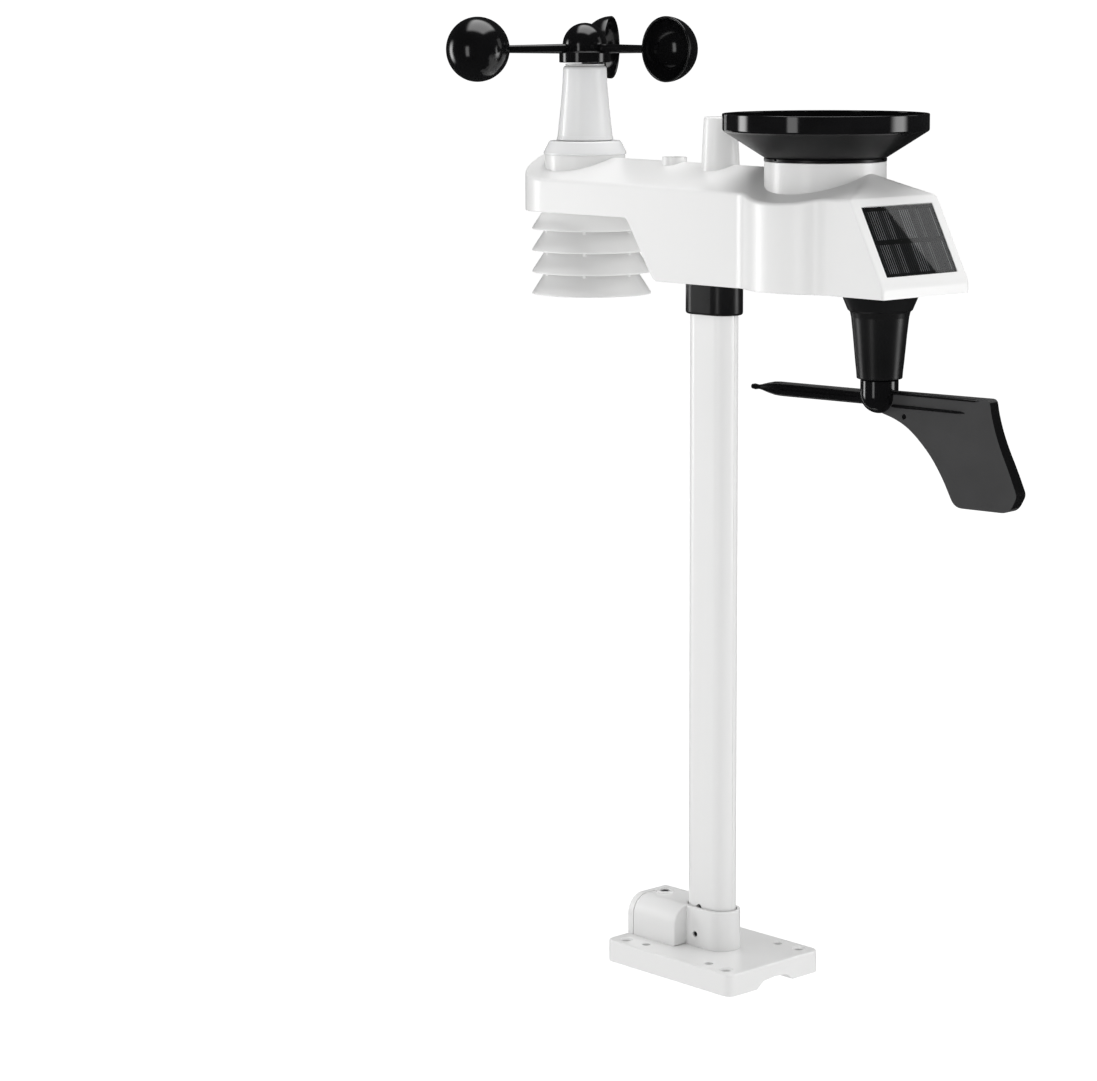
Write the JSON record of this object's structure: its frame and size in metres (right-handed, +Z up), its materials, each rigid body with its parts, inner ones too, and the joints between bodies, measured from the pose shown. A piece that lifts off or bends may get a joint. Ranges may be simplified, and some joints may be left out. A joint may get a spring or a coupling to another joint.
{
  "type": "outdoor weather station",
  "caption": "Outdoor weather sensor head on an oval pole: spinning wind cups, wind vane, rain funnel, louvred shield, solar panel and flat base bracket.",
  "frame": {"origin": "centre of the base plate's footprint, on the pole axis, in the plane of the plate's underside", "axes": "+Z up the pole; +X from the pole towards the rain gauge and solar panel; -X towards the wind cups"},
  "size_m": [0.3735, 0.1464, 0.5478],
  "materials": {
    "white_plastic": "smooth satin-gloss white moulded plastic",
    "smoke_plastic": "slightly translucent grey-white plastic",
    "gloss_black": "very glossy black plastic",
    "satin_black": "satin black plastic",
    "fin_grey": "satin dark grey plastic",
    "steel": "plain turned steel",
    "magnet": "plated magnet grey",
    "circuit_board": "green solder mask",
    "solar_cell": "dark silicon cells with fine grid lines",
    "clear_cover": "clear polished cover",
    "battery": "plain wrapped cell"
  },
  "bodies": {
    "station": {"base_plate": "white_plastic", "socket_bracket": "white_plastic", "pole": "white_plastic", "housing_shell": "white_plastic", "antenna_post": "white_plastic", "bottom_cover": "white_plastic", "louvre_1": "white_plastic", "louvre_2": "white_plastic", "louvre_3": "white_plastic", "louvre_4": "white_plastic", "shield_base": "white_plastic", "tower_flange": "smoke_plastic", "tower": "smoke_plastic", "tower_collar": "smoke_plastic", "rain_well": "smoke_plastic", "mast_collar": "satin_black", "vane_stem": "satin_black", "bracket_screw_1": "steel", "bracket_screw_2": "steel", "bracket_screw_3": "steel", "wall_socket_screw": "steel", "lower_pole_screw": "steel", "upper_pole_screw": "steel", "cover_screw_1": "steel", "cover_screw_2": "steel", "cover_screw_3": "steel", "cover_screw_4": "steel", "rotor_bearing_lower": "steel", "rotor_bearing_upper": "steel", "bucket_axle": "steel", "vane_bearing_lower": "steel", "vane_bearing_upper": "steel", "shield_rod_1": "steel", "shield_rod_2": "steel", "radio_antenna": "magnet", "main_board": "circuit_board", "humidity_sensor": "circuit_board", "solar_cells": "solar_cell", "solar_glass": "clear_cover", "level_vial": "clear_cover", "battery_1": "battery", "battery_2": "battery"},
    "rotor": {"rotor_hub": "gloss_black", "wind_cup_1": "gloss_black", "wind_cup_2": "gloss_black", "wind_cup_3": "gloss_black", "rotor_shaft": "steel", "rotor_magnet": "magnet"},
    "vane": {"vane_hub": "gloss_black", "vane_nose": "gloss_black", "vane_fin": "fin_grey", "vane_shaft": "steel", "vane_magnet": "magnet"},
    "bucket": {"tipping_bucket": "satin_black"},
    "lock_ring": {"funnel_lock_ring": "satin_black"},
    "funnel": {"rain_funnel": "satin_black"},
    "screen": {"debris_screen": "satin_black"},
    "door": {"battery_door": "white_plastic", "battery_door_screw": "steel"},
    "button": {"reset_button": "satin_black"}
  },
  "joints": [
    {"name": "rotor_spin", "type": "hinge", "parent": "station", "child": "rotor", "pos_m": [-0.1064, 0, 0.529], "axis": [0, 0, 1], "continuous": true},
    {"name": "vane_spin", "type": "hinge", "parent": "station", "child": "vane", "pos_m": [0.1245, 0, 0.3455], "axis": [0, 0, 1], "continuous": true},
    {"name": "bucket_tip", "type": "hinge", "parent": "station", "child": "bucket", "pos_m": [0.0839, 0, 0.44], "axis": [0, 1, 0], "range_deg": [-30, 0]},
    {"name": "lock_ring_turn", "type": "hinge", "parent": "station", "child": "lock_ring", "pos_m": [0.0839, 0, 0.47], "axis": [0, 0, 1], "range_deg": [0, 25]},
    {"name": "funnel_lift", "type": "slide", "parent": "lock_ring", "child": "funnel", "axis": [0, 0, 1], "range_m": [0, 0.04]},
    {"name": "screen_lift", "type": "slide", "parent": "funnel", "child": "screen", "axis": [0, 0, 1], "range_m": [0, 0.02]},
    {"name": "battery_door_swing", "type": "hinge", "parent": "station", "child": "door", "pos_m": [0.0513, 0, 0.40165], "axis": [0, 1, 0], "range_deg": [0, 95]},
    {"name": "reset_button_press", "type": "slide", "parent": "station", "child": "button", "axis": [0, 0, 1], "range_m": [0, 0.0012], "stiffness_N_per_m": 400}
  ]
}
